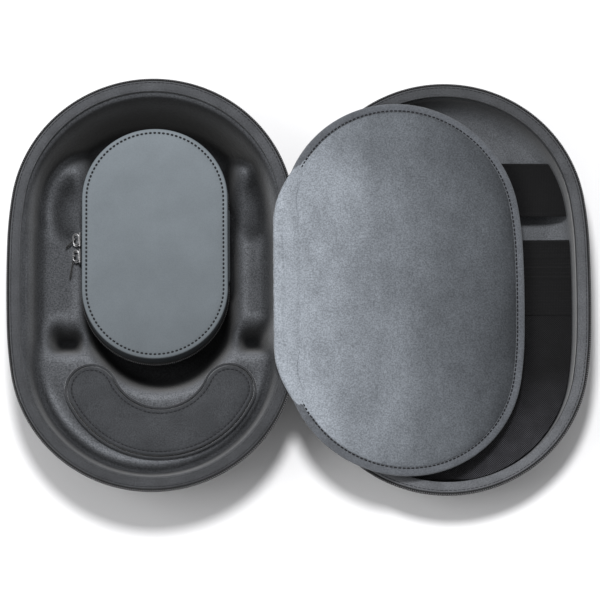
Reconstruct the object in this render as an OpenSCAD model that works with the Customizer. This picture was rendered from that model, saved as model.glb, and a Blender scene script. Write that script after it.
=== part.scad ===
// Hard-shell headphone carrying case, opened flat: a deep base half with a moulded tray and a
// removable pouch, a shallow lid half with pockets, and a padded divider that hinges between them.
// Origin: middle of the open case on its resting plane. X runs from base to lid, Y along the case,
// Z up. The base half stands at -X and the lid half at +X; they meet at X = 0. Millimetres.

/* [Case] */
// Width of each half across the zipper
case_w = 200; // [180:1:220]
// Length of each half across the zipper
case_l = 292; // [280:1:300]
// Height of the base half, floor to rim
base_h = 60; // [56:1:64]
// Height of the lid half, floor to rim
lid_h = 42; // [40:1:44]
// Thickness of the moulded shell wall
shell_t = 3; // [2.5:0.5:3.5]
// Width of the flat fabric rim inside the zipper
rim_w = 7.2; // [7:0.1:7.4]

/* [Zipper] */
// How far the row of teeth stands in from the outermost edge
teeth_in = 0.1; // [0.1:0.1:0.3]
// Width of one row of teeth
teeth_w = 2.1; // [1.8:0.1:2.2]
// Height of one row of teeth
teeth_h = 1.6; // [1.2:0.1:1.8]
// Height of the zipper tape down the outside of each half
tape_h = 3.5; // [3:0.5:6]

/* [Tray] */
// Height of the deepest floor of the tray
tray_floor = 12; // [10:1:14]
// Height of the two side shelves
shelf_z = 34; // [32:1:35]
// Height of the raised platform under the crescent pad
platform_z = 41; // [40:0.5:42]
// How far the tray's hollows are set towards the hinge
tray_shift = 5; // [0:0.5:5]
// Width of the crescent pad's stroke
pad_w = 32; // [28:1:34]
// Thickness of the crescent pad
pad_t = 2.8; // [2:0.2:3]

/* [Pouch] */
// Width of the pouch
pouch_w = 99; // [96:1:100]
// Length of the pouch
pouch_l = 162; // [156:1:164]
// Height of the pouch
pouch_h = 26; // [24:1:26]
// Distance of the pouch's middle from the case's middle
pouch_y = 30; // [28:1:31]

/* [Divider] */
// Inset of the divider's outline from the case's outline
div_in = 16; // [16:0.5:18]
// Width of the binding round the divider
bind_w = 6; // [5:0.5:7]
// Thickness of the bound edge
bind_t = 2.6; // [2:0.2:2.6]
// Height of the plush crown above the bound edge
crown = 4; // [2:0.5:4]
// Slope of the opened divider, down towards the lid's far side
div_tilt = 10; // [9:0.5:10]

/* [Pockets] */
// Middle of the elastic strap along the lid
strap_y = 73; // [70:1:76]
// Width of the elastic strap
strap_w = 37.5; // [34:0.5:40]
// Upper edge of the pocket's elastic band along the lid
band_y = 37; // [34:1:40]
// Width of the pocket's elastic band
band_w = 53; // [48:1:56]
// Height of the strap and pocket above the lid's floor
pocket_z = 25.5; // [24:0.5:26]

/* [Hidden] */

gap = 0.3;                          // clearance between separate pieces
half_w = case_w / 2;
half_l = case_l / 2;
rim_in = teeth_in + teeth_w + 0.2;  // inset of the rim's outer edge
rim_out = rim_in + rim_w;           // inset of the rim's inner edge
rim_t = 3;                          // thickness of the rim
hinge_z = (base_h + lid_h) / 2 + 0.2;

// Outline of each half, a quarter at a time: a long side arc, a shoulder arc and an end arc, all
// tangent. An inset of d keeps the centres and takes d off every radius.
side_r = 1000;
shoulder_r = 260;
end_r = 97.6;
side_c = [half_w - side_r, 0];
end_c = [0, half_l - end_r];
centres = norm(end_c - side_c);
to_side = side_r - shoulder_r;
to_end = shoulder_r - end_r;
along = (to_side * to_side - to_end * to_end + centres * centres) / (2 * centres);
aside = sqrt(to_side * to_side - along * along);
unit = (end_c - side_c) / centres;
shoulder_c = side_c + unit * along + [unit[1], -unit[0]] * aside;
side_a = atan2(shoulder_c[1] - side_c[1], shoulder_c[0] - side_c[0]);
end_a = atan2(end_c[1] - shoulder_c[1], end_c[0] - shoulder_c[0]);

function arc(c, r, a0, a1, n) =
    [for (i = [0 : n]) let (a = a0 + (a1 - a0) * i / n) c + r * [cos(a), sin(a)]];
function but_first(v) = [for (i = [1 : len(v) - 1]) v[i]];
function but_last(v) = [for (i = [0 : len(v) - 2]) v[i]];
function reverse(v) = [for (i = [len(v) - 1 : -1 : 0]) v[i]];
function scaled(v, sx, sy) = [for (p = v) [p[0] * sx, p[1] * sy]];
// A quarter of the outline in 18 steps, then all 72 points of it, counter-clockwise
function quarter(d) = concat(
    arc(side_c, side_r - d, 0, side_a, 3),
    but_first(arc(shoulder_c, shoulder_r - d, side_a, end_a, 3)),
    but_first(arc(end_c, end_r - d, end_a, 90, 12)));
function outline(d) = let (q = quarter(d), r = reverse(q)) concat(
    but_last(q), but_last(scaled(r, -1, 1)), but_last(scaled(q, -1, -1)), but_last(scaled(r, 1, -1)));
function stadium(r, h, n) = concat(arc([0, h], r, 0, 180, n), arc([0, -h], r, 180, 360, n));
function lifted(v, z) = [for (p = v) [p[0], p[1], z]];
function ease(a, b, x) = let (t = min(1, max(0, (x - a) / (b - a)))) t * t * (3 - 2 * t);
function smax(a, b, k) = let (h = max(k - abs(a - b), 0) / k) max(a, b) + h * h * k / 4;
function smin(a, b, k) = -smax(-a, -b, k);

// A closed solid through rings of equal length, the first ring facing down and the last facing up
module loft(rings) {
    n = len(rings[0]);
    points = [for (r = rings) for (p = r) p];
    sides = [for (k = [0 : len(rings) - 2]) for (i = [0 : n - 1]) let (j = (i + 1) % n)
        each [[k * n + i, (k + 1) * n + i, k * n + j], [k * n + j, (k + 1) * n + i, (k + 1) * n + j]]];
    first = [for (i = [0 : n - 1]) i];
    last = [for (i = [n - 1 : -1 : 0]) (len(rings) - 1) * n + i];
    polyhedron(points, concat(sides, [first], [last]), convexity = 6);
}

// A ring-shaped solid: the last ring joins the first again
module tube_loft(rings) {
    n = len(rings[0]);
    m = len(rings);
    points = [for (r = rings) for (p = r) p];
    sides = [for (k = [0 : m - 1]) for (i = [0 : n - 1]) let (j = (i + 1) % n, l = (k + 1) % m)
        each [[k * n + i, l * n + i, k * n + j], [k * n + j, l * n + i, l * n + j]]];
    polyhedron(points, sides, convexity = 6);
}

// A flat ring between two insets of the outline
module outline_ring(d_out, d_in, z, h)
    translate([0, 0, z]) linear_extrude(height = h) difference() {
        polygon(outline(d_out));
        polygon(outline(d_in));
    }

module at_base() translate([-half_w, 0, 0]) children();
module at_lid() translate([half_w, 0, 0]) children();

// ---- Shells ----
shell_in = rim_in;                  // inset of the shell's outer wall at the rim

// Inset and height down each shell, outside from the floor up and inside from the rim down. Both
// halves lean in below the rim like a bowl.
function shell_outside(h) = [[44, 0], [28, 1.5], [20.5, 5], [16.8, 10], [13.8, 18], [10.8, h - 30],
    [7.4, h - 17], [3.4, h - 5], [shell_in, h - rim_t]];
function shell_inside(h) = [[shell_in + shell_t, h - rim_t], [3.4 + shell_t, h - 5],
    [7.4 + shell_t, h - 17], [10.8 + shell_t, h - 30], [13.8 + shell_t, 18.5], [16.9 + shell_t, 11.5],
    [20.5 + shell_t, 7], [30, 4.4], [44, shell_t]];
function lid_outside(h) = [[36, 0], [22, 1.2], [14.5, 4], [11.3, 8], [9.2, 14], [7.3, h - 20],
    [5, h - 11.5], [2.8, h - 4.5], [shell_in, h - rim_t]];
function lid_inside(h) = [[shell_in + shell_t, h - rim_t], [2.8 + shell_t, h - 4.5],
    [5 + shell_t, h - 11.5], [7.3 + shell_t, h - 20], [9.2 + shell_t, 14.5], [11.3 + shell_t, 9],
    [14.5 + shell_t, 6], [24, 4.3], [36, shell_t]];
function rings(profile) = [for (p = profile) lifted(outline(p[0]), p[1])];

module base_shell() {
    color("#34363a") at_base() loft(rings(concat(shell_outside(base_h), shell_inside(base_h))));
}

module lid_shell() {
    color("#34363a") at_lid() loft(rings(concat(lid_outside(lid_h), lid_inside(lid_h))));
}

// ---- Rims and zipper ----
module rim(h) outline_ring(rim_in, rim_out, h - rim_t, rim_t);
module tape(h) outline_ring(rim_in - 1.3, rim_in - 0.1, h - teeth_h - 0.2 - tape_h, tape_h);
module teeth(h) outline_ring(teeth_in, teeth_in + teeth_w, h - teeth_h - 0.2, teeth_h);

module base_rim() {
    color("#62656a") at_base() rim(base_h);
}
module lid_rim() {
    color("#62656a") at_lid() rim(lid_h);
}
module base_zipper_tape() {
    color("#1b1b1d") at_base() tape(base_h);
}
module lid_zipper_tape() {
    color("#1b1b1d") at_lid() tape(lid_h);
}
module base_zipper_teeth() {
    color("#29292b") at_base() teeth(base_h);
}
module lid_zipper_teeth() {
    color("#29292b") at_lid() teeth(lid_h);
}

// ---- Tray ----
// Places are in the base half's own plan: u across, v along, both from its middle.
well_r = 54.8;                      // half width of the central well and radius of its south end
well_y = -18;                       // middle of the well's round south end
scoop = [62, 58];                   // middle of each upper side scoop
scoop_r = [17, 31];                 // its half width and half length
pocket = [64, -36];                 // middle of each lower side pocket
arch_c = [tray_shift, -50];         // centre of the crescent pad's arc
arch_r = 51.5;                      // radius of the arc along its middle
arch_a = 66;                        // half angle of the arc
support = [41, 5, 30];              // pouch supports: place across, half width, half length

// Distance in from the outline, close enough for slopes
function inset(p) = half_w - 0.8 - norm([p[0], max(abs(p[1]) - 46.8, 0)]);
// Height of the side shelves with their scoops and pockets
function shelf(w, v, q) = let (
    e = norm([(w - scoop[0]) / scoop_r[0], (v - scoop[1]) / scoop_r[1]]),
    n = min(max(v - 45, 0), (e - 1) * 20),
    top = smin(shelf_z - 1.7 * max(n, 0), shelf_z + 2.6 * q, 4),
    dish = 8 * (1 - ease(0.45, 0.95, e)) * ease(22, 48, v),
    r = v - pocket[1],
    s = norm([max(abs(w - pocket[0]) - 7, 0), max((r > 0 ? 0.6 * r : -r) - 4, 0)]) - 6)
    smin(top - dish, shelf_z + 4 * s, 5);
// Height of the platform at the south end, with its rounded ridge and the groove outside it
function platform(v, q, d) = let (south = ease(-50, -85, v))
    smin(platform_z + 2.6 * q, platform_z + 2.5 * exp(-pow((d - 24) / 3.5, 2)) * south
        - 4.5 * max(0, 21 - d) * south, 3);
function tray_z(p) = let (
    w = abs(p[0] - tray_shift),
    v = p[1],
    d = inset(p),
    q = norm([w, min(v - well_y, 0)]) - well_r,
    k = ease(-30, -50, v),
    body = (1 - k) * shelf(w, v, q) + k * platform(v, q, d),
    held = (abs(w - support[0]) < support[1] && abs(v - pouch_y) < support[2]) ? pouch_z - gap : 0,
    wall = base_h - rim_t - (3 + 0.8 * ease(40, 90, v) + 2 * ease(-50, -90, v)) * max(d - 12.5, 0))
    max(held, smax(smax(body, tray_floor, 3), wall, 3));

pouch_z = base_h - 7 - pouch_h;     // underside of the pouch
tray_gap = 0.2;                     // clearance between a shell and what lies in it

// Underside of a tray or lining, from the floor up, following the inside of its shell
function lining_under(profile, h) = [for (p = reverse(profile))
    lifted(outline(p[0] + tray_gap), min(p[1] + tray_gap, h - rim_t - gap))];

module tray_insert() {
    under = lining_under(shell_inside(base_h), base_h);
    rim_ring = [lifted(outline(rim_out + gap), base_h - rim_t - gap)];
    insets = [for (d = [12.5, 14.5, 16.5, 18.5, 20.5, 23, 26]) outline(d)];
    inner = [for (s = [0.93, 0.86, 0.79, 0.72, 0.65, 0.58, 0.5, 0.42, 0.33, 0.22, 0.1])
        scaled(outline(26), s, s)];
    top = [for (r = concat(insets, inner)) [for (p = r) [p[0], p[1], tray_z(p)]]];
    color("#4b4d50") at_base() loft_to_point(concat(under, rim_ring, top), [0, 0, tray_z([0, 0])]);
}

// As loft, but the last ring closes on one point
module loft_to_point(rings, tip) {
    n = len(rings[0]);
    m = len(rings);
    points = concat([for (r = rings) for (p = r) p], [tip]);
    sides = [for (k = [0 : m - 2]) for (i = [0 : n - 1]) let (j = (i + 1) % n)
        each [[k * n + i, (k + 1) * n + i, k * n + j], [k * n + j, (k + 1) * n + i, (k + 1) * n + j]]];
    last = [for (i = [0 : n - 1]) [(m - 1) * n + i, m * n, (m - 1) * n + (i + 1) % n]];
    first = [for (i = [0 : n - 1]) i];
    polyhedron(points, concat(sides, last, [first]), convexity = 8);
}

// Outline of the crescent: a stroke of width w along an arc, with round ends
function crescent(w) = let (r = w / 2, a0 = -90 - arch_a, a1 = -90 + arch_a) concat(
    arc(arch_c, arch_r + r, a0, a1, 20),
    but_first(arc(arch_c + arch_r * [cos(a1), sin(a1)], r, a1, a1 + 180, 8)),
    but_first(arc(arch_c, arch_r - r, a1, a0, 20)),
    but_last(but_first(arc(arch_c + arch_r * [cos(a0), sin(a0)], r, a0 + 180, a0 + 360, 8))));

module crescent_pad() {
    color("#3f4143") at_base() translate([0, 0, platform_z + 2.8])
        linear_extrude(height = pad_t) polygon(crescent(pad_w));
}

module crescent_piping() {
    color("#37393b") at_base() translate([0, 0, platform_z + 2.8])
        linear_extrude(height = 1.6) difference() {
            polygon(crescent(pad_w + 3));
            polygon(crescent(pad_w + 0.4));
        }
}

// ---- Spine and the main zipper's ends ----
spine_y = 58;                       // half length of the spine
stub_y = 84;                        // where the joined tape ends
stub = [3.2, 1.2];                  // its width and thickness
slider_y = 70.5;                    // middle of each main slider at rest

module spine_strip() {
    color("#2b2c2f") translate([-0.8, -spine_y, hinge_z - 7.5]) cube([1.6, 2 * spine_y, 12.5]);
}

module zipper_stub() {
    color("#1b1b1d") translate([-stub[0] / 2, spine_y, hinge_z - stub[1] / 2])
        cube([stub[0], stub_y - spine_y, stub[1]]);
}

module zipper_stub_north() {
    zipper_stub();
}
module zipper_stub_south() {
    mirror([0, 1, 0]) zipper_stub();
}

// A slider with its channel along Y, and a pin along X under it for the pull
pin_r = 0.9;
pin_drop = 1.9;                     // pin's axis below the slider's underside
slider = [7.4, 9.4, 4.6];           // slider's size
module main_slider() {
    color("#3a3a3c") translate([0, slider_y, hinge_z]) {
        difference() {
            translate([-slider[0] / 2, -slider[1] / 2, -slider[2] / 2]) cube(slider);
            translate([-stub[0] / 2 - gap, -slider[1], -stub[1] / 2 - gap])
                cube([stub[0] + 2 * gap, 2 * slider[1], stub[1] + 2 * gap]);
        }
        for (side = [-1, 1])
            translate([side * 2.9 - 0.6, -1.6, -slider[2] / 2 - pin_drop - 1.5])
                cube([1.2, 3.2, pin_drop + 2]);
        translate([-3, 0, -slider[2] / 2 - pin_drop]) rotate([0, 90, 0]) cylinder(r = pin_r, h = 6, $fn = 32);
    }
}

// A flat pull that hangs from the pin
module main_pull() {
    color("#232325") translate([0, slider_y, hinge_z - slider[2] / 2 - pin_drop]) difference() {
        union() {
            translate([-2, 0, 0]) rotate([0, 90, 0]) cylinder(r = 1.55, h = 4, $fn = 32);
            translate([-2, -0.8, -19]) cube([4, 1.6, 19]);
        }
        translate([-3, 0, 0]) rotate([0, 90, 0]) cylinder(r = pin_r + 0.1, h = 6, $fn = 32);
    }
}

module main_slider_north() {
    main_slider();
}
module main_slider_south() {
    mirror([0, 1, 0]) main_slider();
}
module main_pull_north() {
    main_pull();
}
module main_pull_south() {
    mirror([0, 1, 0]) main_pull();
}

// ---- Lid's lining and pockets ----
lining_floor = 12;                  // top of the lining over the lid's floor
module lid_lining() {
    under = lining_under(lid_inside(lid_h), lid_h);
    over = rings([[rim_out + gap, lid_h - rim_t - gap], [rim_out + 0.6, lid_h - 2],
        [rim_out + 1.4, 34], [rim_out + 2.6, 28], [rim_out + 4.2, 22], [rim_out + 7.4, 16.5],
        [rim_out + 13.4, 13], [rim_out + 23.4, lining_floor]]);
    color("#56585c") at_lid() loft(concat(under, over));
}

sheet_in = 4.4;                     // how far the pockets' sheets stop inside the rim

// A flat sheet across the lid between two places along it
module across(y0, y1, z, t) {
    color("#18181a") at_lid() translate([0, 0, z]) linear_extrude(height = t) intersection() {
        polygon(outline(rim_out + sheet_in));
        translate([-half_w, y0]) square([case_w, y1 - y0]);
    }
}

module elastic_strap() {
    across(strap_y - strap_w / 2, strap_y + strap_w / 2, pocket_z, 1.5);
}
module pocket_band() {
    across(band_y - band_w, band_y, pocket_z, 1.6);
}
module mesh_pocket() {
    across(-half_l, band_y - band_w - 0.1, pocket_z, 0.8);
}

// ---- Divider ----
// In the divider's own frame s runs from its hinge to its far edge and h is the height off its
// middle surface. The opened divider slopes down and bows up a little.
div_x = -15;                        // hinge axis
div_z = base_h + 3.2;
div_y = -3;                         // middle of the divider along the case
div_from = 2.6;                     // hinge axis to the near edge
div_bow = 2.5;                      // bow at mid span
roll_r = 2;                         // radius of the rolled hinge
roll_half = 50;                     // half length of the rolled hinge
div_half = half_w - div_in;
div_span = div_from + 2 * div_half;
function bent(s, y, h) = [div_x + s * cos(div_tilt) + h * sin(div_tilt), y + div_y,
    div_z - s * sin(div_tilt) + h * cos(div_tilt) + 4 * div_bow * (s / div_span) * (1 - s / div_span)];
function bent_ring(v, h) = [for (p = v) bent(p[0] + div_from + div_half, p[1], h)];
function div_outline(d) = outline(div_in + d);
bind_low = -1.2;                    // underside of the binding off the middle surface

module divider_hinge_roll() {
    color("#7d828a") translate([div_x, -roll_half, div_z]) rotate([-90, 0, 0])
        cylinder(r = roll_r, h = 2 * roll_half, $fn = 48);
}

module divider_binding() {
    top = bind_low + bind_t;
    color("#5c6068") tube_loft([
        bent_ring(div_outline(0), bind_low + 0.6), bent_ring(div_outline(0), top - 0.6),
        bent_ring(div_outline(0.8), top), bent_ring(div_outline(bind_w), top),
        bent_ring(div_outline(bind_w), bind_low), bent_ring(div_outline(0.8), bind_low)]);
}

// A closed pad from a lower to an upper middle point
module pad_loft(rings, low, high) {
    n = len(rings[0]);
    m = len(rings);
    points = concat([for (r = rings) for (p = r) p], [low, high]);
    sides = [for (k = [0 : m - 2]) for (i = [0 : n - 1]) let (j = (i + 1) % n)
        each [[k * n + i, (k + 1) * n + i, k * n + j], [k * n + j, (k + 1) * n + i, (k + 1) * n + j]]];
    first = [for (i = [0 : n - 1]) [i, (i + 1) % n, m * n]];
    last = [for (i = [0 : n - 1]) [(m - 1) * n + i, m * n + 1, (m - 1) * n + (i + 1) % n]];
    polyhedron(points, concat(sides, last, first), convexity = 6);
}

board_t = 0.8;                      // thickness of the backing
shares = [0.15, 0.35, 0.55, 0.75, 0.9];     // where the pads' inner rings lie, from the middle out
pad_edge = div_outline(bind_w + 0.1);
function pad_ring(share, h) = bent_ring(scaled(pad_edge, share, share), h);
function pad_middle(h) = bent(div_from + div_half, 0, h);

module divider_backing() {
    high = bind_low + board_t;
    under = [for (s = concat(shares, [1])) pad_ring(s, bind_low)];
    over = [for (s = concat([1], reverse(shares))) pad_ring(s, high)];
    color("#4a4d52") pad_loft(concat(under, over), pad_middle(bind_low), pad_middle(high));
}

module divider_cushion() {
    low = bind_low + board_t + 0.1;
    top = bind_low + bind_t;
    function puff(s) = top + crown * sqrt(1 - pow(s, 4));
    under = [for (s = concat(shares, [1])) pad_ring(s, low)];
    over = concat([pad_ring(1, top - 0.4)], [for (s = reverse(shares)) pad_ring(s, puff(s))]);
    color("#79818c") pad_loft(concat(under, over), pad_middle(low), pad_middle(puff(0)));
}

// ---- Pouch ----
pouch_x = -half_w + 1.5;            // middle of the pouch across
split_z = pouch_z + 10;             // where its tub and cover meet
pouch_r = pouch_w / 2;
pouch_c = pouch_l / 2 - pouch_r;    // middle of each round end
wall_t = 1.6;                       // thickness of the pouch's wall
hinge_half = 26;                    // half length of the pouch's hinge

function pouch_ring(d, z) = lifted(stadium(pouch_r - d, pouch_c, 18), z);
module at_pouch() translate([pouch_x, pouch_y, 0]) children();
module pouch_band(out, in, z, h)
    translate([0, 0, z]) linear_extrude(height = h) difference() {
        polygon(stadium(pouch_r + out, pouch_c, 18));
        polygon(stadium(pouch_r + in, pouch_c, 18));
    }

module pouch_tub() {
    z = pouch_z;
    top = split_z - 0.4;
    color("#6d757d") at_pouch() loft([
        pouch_ring(5, z), pouch_ring(2, z + 1), pouch_ring(0.5, z + 3), pouch_ring(0, z + 5.5),
        pouch_ring(0, top), pouch_ring(wall_t, top),
        pouch_ring(wall_t, z + 5.5), pouch_ring(0.5 + wall_t, z + 4),
        pouch_ring(2 + wall_t, z + 2.4), pouch_ring(7, z + wall_t)]);
}

module pouch_tub_lining() {
    z = pouch_z + wall_t + 0.1;
    top = split_z - 0.6;
    t = wall_t + 0.1;
    color("#2c2e31") at_pouch() loft([
        pouch_ring(7.2, z), pouch_ring(2.4 + t, z + 1),
        pouch_ring(0.8 + t, z + 2.8), pouch_ring(t, z + 4.6),
        pouch_ring(t, top), pouch_ring(t + 0.7, top),
        pouch_ring(t + 0.7, z + 4.8), pouch_ring(1.5 + t, z + 3.2),
        pouch_ring(3.2 + t, z + 1.6), pouch_ring(8, z + 0.7)]);
}

module pouch_zipper(z)
    difference() {
        pouch_band(1.1, 0.1, z, 2.3);
        translate([pouch_r - 5, -hinge_half - 0.2, z - 1]) cube([10, 2 * hinge_half + 0.4, 5]);
    }

module pouch_lower_zipper() {
    color("#19191b") at_pouch() pouch_zipper(split_z - 2.4);
}
module pouch_upper_zipper() {
    color("#19191b") at_pouch() pouch_zipper(split_z + 0.1);
}

module pouch_lower_hinge() {
    color("#646c74") at_pouch() translate([pouch_r + 0.1, -hinge_half, split_z - 5])
        cube([1.1, 2 * hinge_half, 4.8]);
}

module pouch_upper_hinge() {
    color("#6d757d") at_pouch() translate([pouch_r + 0.1, -hinge_half, split_z + 0.2])
        cube([2.4, 2 * hinge_half, 8]);
}

module pouch_wall() {
    color("#6d757d") at_pouch() pouch_band(0, -wall_t, split_z + 0.3, pouch_h - 12);
}

module pouch_piping() {
    color("#5d656d") at_pouch() pouch_band(0.7, -0.6, pouch_z + pouch_h - 1.6, 1);
}

module pouch_panel() {
    z = pouch_z + pouch_h;
    color("#7b838b") at_pouch() loft([
        pouch_ring(0.8, z - 1.6), pouch_ring(0.7, z - 0.4), pouch_ring(1.3, z), pouch_ring(5, z)]);
}

// Pouch sliders run along the left side; each has a pin along Z for its pull
slider_out = 3.2;                   // slider's size outwards, along and up
slider_long = 10.4;
slider_high = 5;
slider_step = 5.8;                  // middle of each slider from where the two meet
slider_meet = 1;                    // where they meet, along the pouch
small_pin = 0.7;
pin_out = 1.7;                      // pin's axis from the slider's outer face
pin_x = slider_out + pin_out;
slider_face = -pouch_r - 1.1 - gap; // slider's inner face, clear of the zipper
module pouch_slider() {
    color("#c9ccd0") at_pouch() translate([slider_face, slider_meet, split_z]) {
        translate([-slider_out, slider_step - slider_long / 2, -slider_high / 2])
            cube([slider_out, slider_long, slider_high]);
        for (side = [-1, 1])
            translate([-pin_x - 1.1, slider_step - 1.2, side * 2.1 - 0.4])
                cube([pin_out + 1.7, 2.4, 0.8]);
        translate([-pin_x, slider_step, -2.2]) cylinder(r = small_pin, h = 4.4, $fn = 32);
    }
}

// A cord pull of length l, turned by a from straight out
module pouch_pull(at_y, a, l) {
    color("#161618") at_pouch() translate([slider_face - pin_x, slider_meet + at_y, split_z])
        difference() {
            union() {
                translate([0, 0, -1.5]) cylinder(r = 1.3, h = 3, $fn = 32);
                rotate([0, 0, a]) translate([-l, -0.8, -1.5]) cube([l, 1.6, 3]);
            }
            translate([0, 0, -3]) cylinder(r = small_pin + 0.1, h = 6, $fn = 32);
        }
}

module pouch_slider_north() {
    pouch_slider();
}
module pouch_slider_south() {
    translate([0, 2 * (pouch_y + slider_meet), 0]) mirror([0, 1, 0]) pouch_slider();
}
module pouch_pull_north() {
    pouch_pull(slider_step, 45, 8);
}
module pouch_pull_south() {
    pouch_pull(-slider_step, 80, 16);
}

base_shell();
base_rim();
base_zipper_tape();
base_zipper_teeth();
tray_insert();
crescent_pad();
crescent_piping();
spine_strip();
zipper_stub_north();
zipper_stub_south();
lid_shell();
lid_rim();
lid_zipper_tape();
lid_zipper_teeth();
lid_lining();
elastic_strap();
pocket_band();
mesh_pocket();
divider_hinge_roll();
divider_cushion();
divider_backing();
divider_binding();
pouch_tub();
pouch_tub_lining();
pouch_lower_zipper();
pouch_lower_hinge();
pouch_wall();
pouch_panel();
pouch_piping();
pouch_upper_zipper();
pouch_upper_hinge();
pouch_slider_north();
pouch_slider_south();
pouch_pull_north();
pouch_pull_south();
main_slider_north();
main_slider_south();
main_pull_north();
main_pull_south();
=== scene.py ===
"""A hard headphone carrying case, opened flat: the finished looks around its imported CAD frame.

Lengths are millimetres in the shape code, in the frame of the CAD; `solid` turns them into metres.
Each half has its own plan, u across and v along from its middle; inset is the distance in from
the case's outermost edge.
"""

import math

import bmesh
import bpy
import numpy as np
from mathutils import Matrix, Vector


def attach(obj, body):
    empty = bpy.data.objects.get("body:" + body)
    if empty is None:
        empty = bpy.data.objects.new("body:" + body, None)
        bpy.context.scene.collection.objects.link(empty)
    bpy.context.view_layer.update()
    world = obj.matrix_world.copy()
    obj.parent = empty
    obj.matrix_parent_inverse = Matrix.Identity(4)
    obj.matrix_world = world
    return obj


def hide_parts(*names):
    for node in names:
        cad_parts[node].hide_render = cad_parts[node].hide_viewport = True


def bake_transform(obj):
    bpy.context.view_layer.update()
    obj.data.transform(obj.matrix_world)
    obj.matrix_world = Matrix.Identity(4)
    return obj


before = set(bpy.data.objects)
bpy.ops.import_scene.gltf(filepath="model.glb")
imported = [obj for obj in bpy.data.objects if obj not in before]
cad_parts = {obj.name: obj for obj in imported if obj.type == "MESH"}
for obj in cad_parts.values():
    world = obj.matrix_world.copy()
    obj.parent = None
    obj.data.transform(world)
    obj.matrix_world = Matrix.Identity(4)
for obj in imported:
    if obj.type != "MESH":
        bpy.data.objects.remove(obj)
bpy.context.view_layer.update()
MM = 0.001
TAU = 2 * math.pi

# ---------------------------------------------------------------- sizes repeated from the CAD
# Each half: half its width and length, its height, and where its middle lies
HALF_W, HALF_L = 100.0, 146.0
BASE_H, LID_H = 60.0, 42.0
BASE_X, LID_X = -100.0, 100.0
# Insets of the rim's outer and inner edge, and its thickness
RIM_OUTER, RIM_INNER, RIM_T = 2.4, 9.6, 3.0
HINGE_Z = 51.2
# The pouch: its middle and underside, radius, half its straight side, and where its zipper parts
POUCH_X, POUCH_Y, POUCH_Z = -98.5, 30.0, 27.0
POUCH_R, POUCH_C, SPLIT_Z = 49.5, 31.5, 37.0
# The divider: its hinge, how far out its plan starts, and how far its middle bows up
DIV_X, DIV_Z, DIV_Y, DIV_FROM, DIV_BOW = -15.0, 63.2, -3.0, 2.6, 2.5
# Inset of its plan in the half's outline, its binding's width, underside and top, and the cushion's crown
DIV_IN, BIND_W, BIND_LOW, BIND_TOP, CROWN = 16.0, 6.0, -1.2, 1.4, 4.0
DIV_HALF = HALF_W - DIV_IN
DIV_SPAN = DIV_FROM + 2 * DIV_HALF
DIV_TILT = math.radians(10)
POCKET_Z = 25.5


# ---------------------------------------------------------------- curves and fields
def ease(a, b, x):
    t = np.clip((np.asarray(x, float) - a) / (b - a), 0, 1)
    return t * t * (3 - 2 * t)


def smax(a, b, k):
    h = np.maximum(k - np.abs(a - b), 0) / k
    return np.maximum(a, b) + h * h * k / 4


def smin(a, b, k):
    return -smax(-np.asarray(a, float), -np.asarray(b, float), k)


def arc(centre, r, a0, a1, n):
    a = np.linspace(a0, a1, n + 1)
    return np.stack([centre[0] + r * np.cos(a), centre[1] + r * np.sin(a)], 1)


SIDE_R, SHOULDER_R, END_R = 1000.0, 260.0, 97.6
SIDE_C, END_C = np.array([HALF_W - SIDE_R, 0]), np.array([0, HALF_L - END_R])
_d = np.linalg.norm(END_C - SIDE_C)
_to_side, _to_end = SIDE_R - SHOULDER_R, SHOULDER_R - END_R
_along = (_to_side**2 - _to_end**2 + _d**2) / (2 * _d)
_aside = math.sqrt(_to_side**2 - _along**2)
_unit = (END_C - SIDE_C) / _d
SHOULDER_C = SIDE_C + _unit * _along + np.array([_unit[1], -_unit[0]]) * _aside
SIDE_A = math.atan2(*(SHOULDER_C - SIDE_C)[::-1])
END_A = math.atan2(*(END_C - SHOULDER_C)[::-1])


def even(path, n, closed=True):
    """The path again in n even steps of arc length."""
    p = np.vstack([path, path[:1]]) if closed else np.asarray(path, float)
    s = np.concatenate([[0], np.cumsum(np.linalg.norm(np.diff(p, axis=0), axis=1))])
    t = np.linspace(0, s[-1], n + 1)[:-1] if closed else np.linspace(0, s[-1], n)
    return np.stack([np.interp(t, s, p[:, k]) for k in range(p.shape[1])], 1)


def outline(d, n=480):
    """A half's outline at inset d, counter-clockwise from its +u side.

    Its n points keep their places at every inset.
    """
    q = np.vstack(
        [
            arc(SIDE_C, SIDE_R - d, 0, SIDE_A, 40),
            arc(SHOULDER_C, SHOULDER_R - d, SIDE_A, END_A, 40)[1:],
            arc(END_C, END_R - d, END_A, math.pi / 2, 100)[1:],
        ]
    )
    r = q[::-1]
    whole = np.vstack([q[:-1], (r * [-1, 1])[:-1], (q * [-1, -1])[:-1], (r * [1, -1])[:-1]])
    return whole[np.linspace(0, len(whole), n, endpoint=False).astype(int)] if n < len(whole) else whole


def stadium(r, h, n=48, m=24):
    """A stadium of radius r and straight sides 2h long, counter-clockwise from the +u side's middle."""
    side = np.stack([np.full(m, r), np.linspace(0, h, m, endpoint=False)], 1)
    side2 = np.stack([np.full(m, -r), np.linspace(h, -h, 2 * m, endpoint=False)[::2]], 1)
    return np.vstack(
        [
            side,
            arc([0, h], r, 0, math.pi, n)[:-1],
            side2,
            arc([0, -h], r, math.pi, TAU, n)[:-1],
            np.stack([np.full(m, r), np.linspace(-h, 0, m, endpoint=False)], 1),
        ]
    )


def lift(plan, z):
    return np.column_stack([plan, np.broadcast_to(z, len(plan))])


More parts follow.
